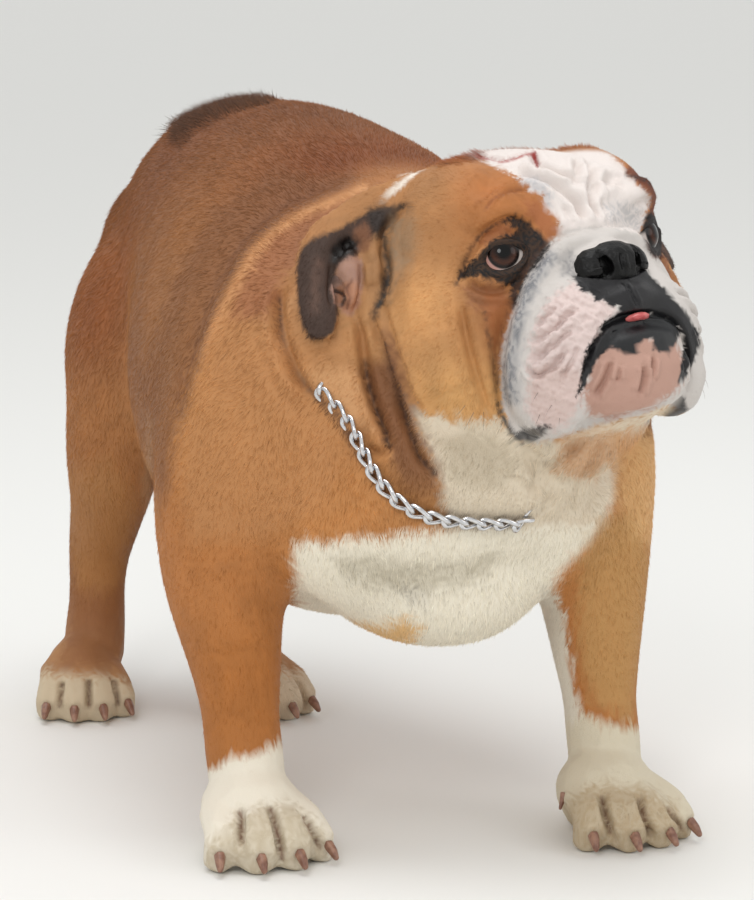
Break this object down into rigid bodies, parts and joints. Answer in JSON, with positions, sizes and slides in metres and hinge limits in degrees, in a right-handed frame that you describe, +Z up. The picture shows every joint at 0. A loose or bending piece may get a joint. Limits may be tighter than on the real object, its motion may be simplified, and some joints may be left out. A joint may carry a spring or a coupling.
{
  "type": "english bulldog",
  "caption": "Still life-size english bulldog standing square on all fours with its head raised, wearing a curb chain collar.",
  "frame": {"origin": "on the floor under the middle of the dog's bounding box", "axes": "-Y is the way the dog faces, +X is its left, +Z is up"},
  "size_m": [0.3258, 0.6012, 0.4207],
  "materials": {
    "coat": "short flat fawn-red and white fur",
    "mouth": "moist pink",
    "nose_leather": "moist pebbled black",
    "eyes": "glossy dark brown",
    "claws": "worn horn",
    "chain": "polished steel"
  },
  "bodies": {
    "root": {"head": "coat", "neck": "coat", "torso": "coat", "loin": "coat", "tail": "coat", "foreleg_right": "coat", "foreleg_left": "coat", "hindleg_right": "coat", "hindleg_left": "coat", "forepaw_right": "coat", "forepaw_left": "coat", "hindpaw_right": "coat", "hindpaw_left": "coat", "ear_right": "coat", "ear_left": "coat", "lower_jaw": "coat", "tongue": "mouth", "nose": "nose_leather", "eye_right": "eyes", "eye_left": "eyes", "collar_chain": "chain", "claw_forepaw_right_1": "claws", "claw_forepaw_right_2": "claws", "claw_forepaw_right_3": "claws", "claw_forepaw_right_4": "claws", "claw_forepaw_left_1": "claws", "claw_forepaw_left_2": "claws", "claw_forepaw_left_3": "claws", "claw_forepaw_left_4": "claws", "claw_hindpaw_right_1": "claws", "claw_hindpaw_right_2": "claws", "claw_hindpaw_right_3": "claws", "claw_hindpaw_right_4": "claws", "claw_hindpaw_left_1": "claws", "claw_hindpaw_left_2": "claws", "claw_hindpaw_left_3": "claws", "claw_hindpaw_left_4": "claws"}
  },
  "joints": []
}
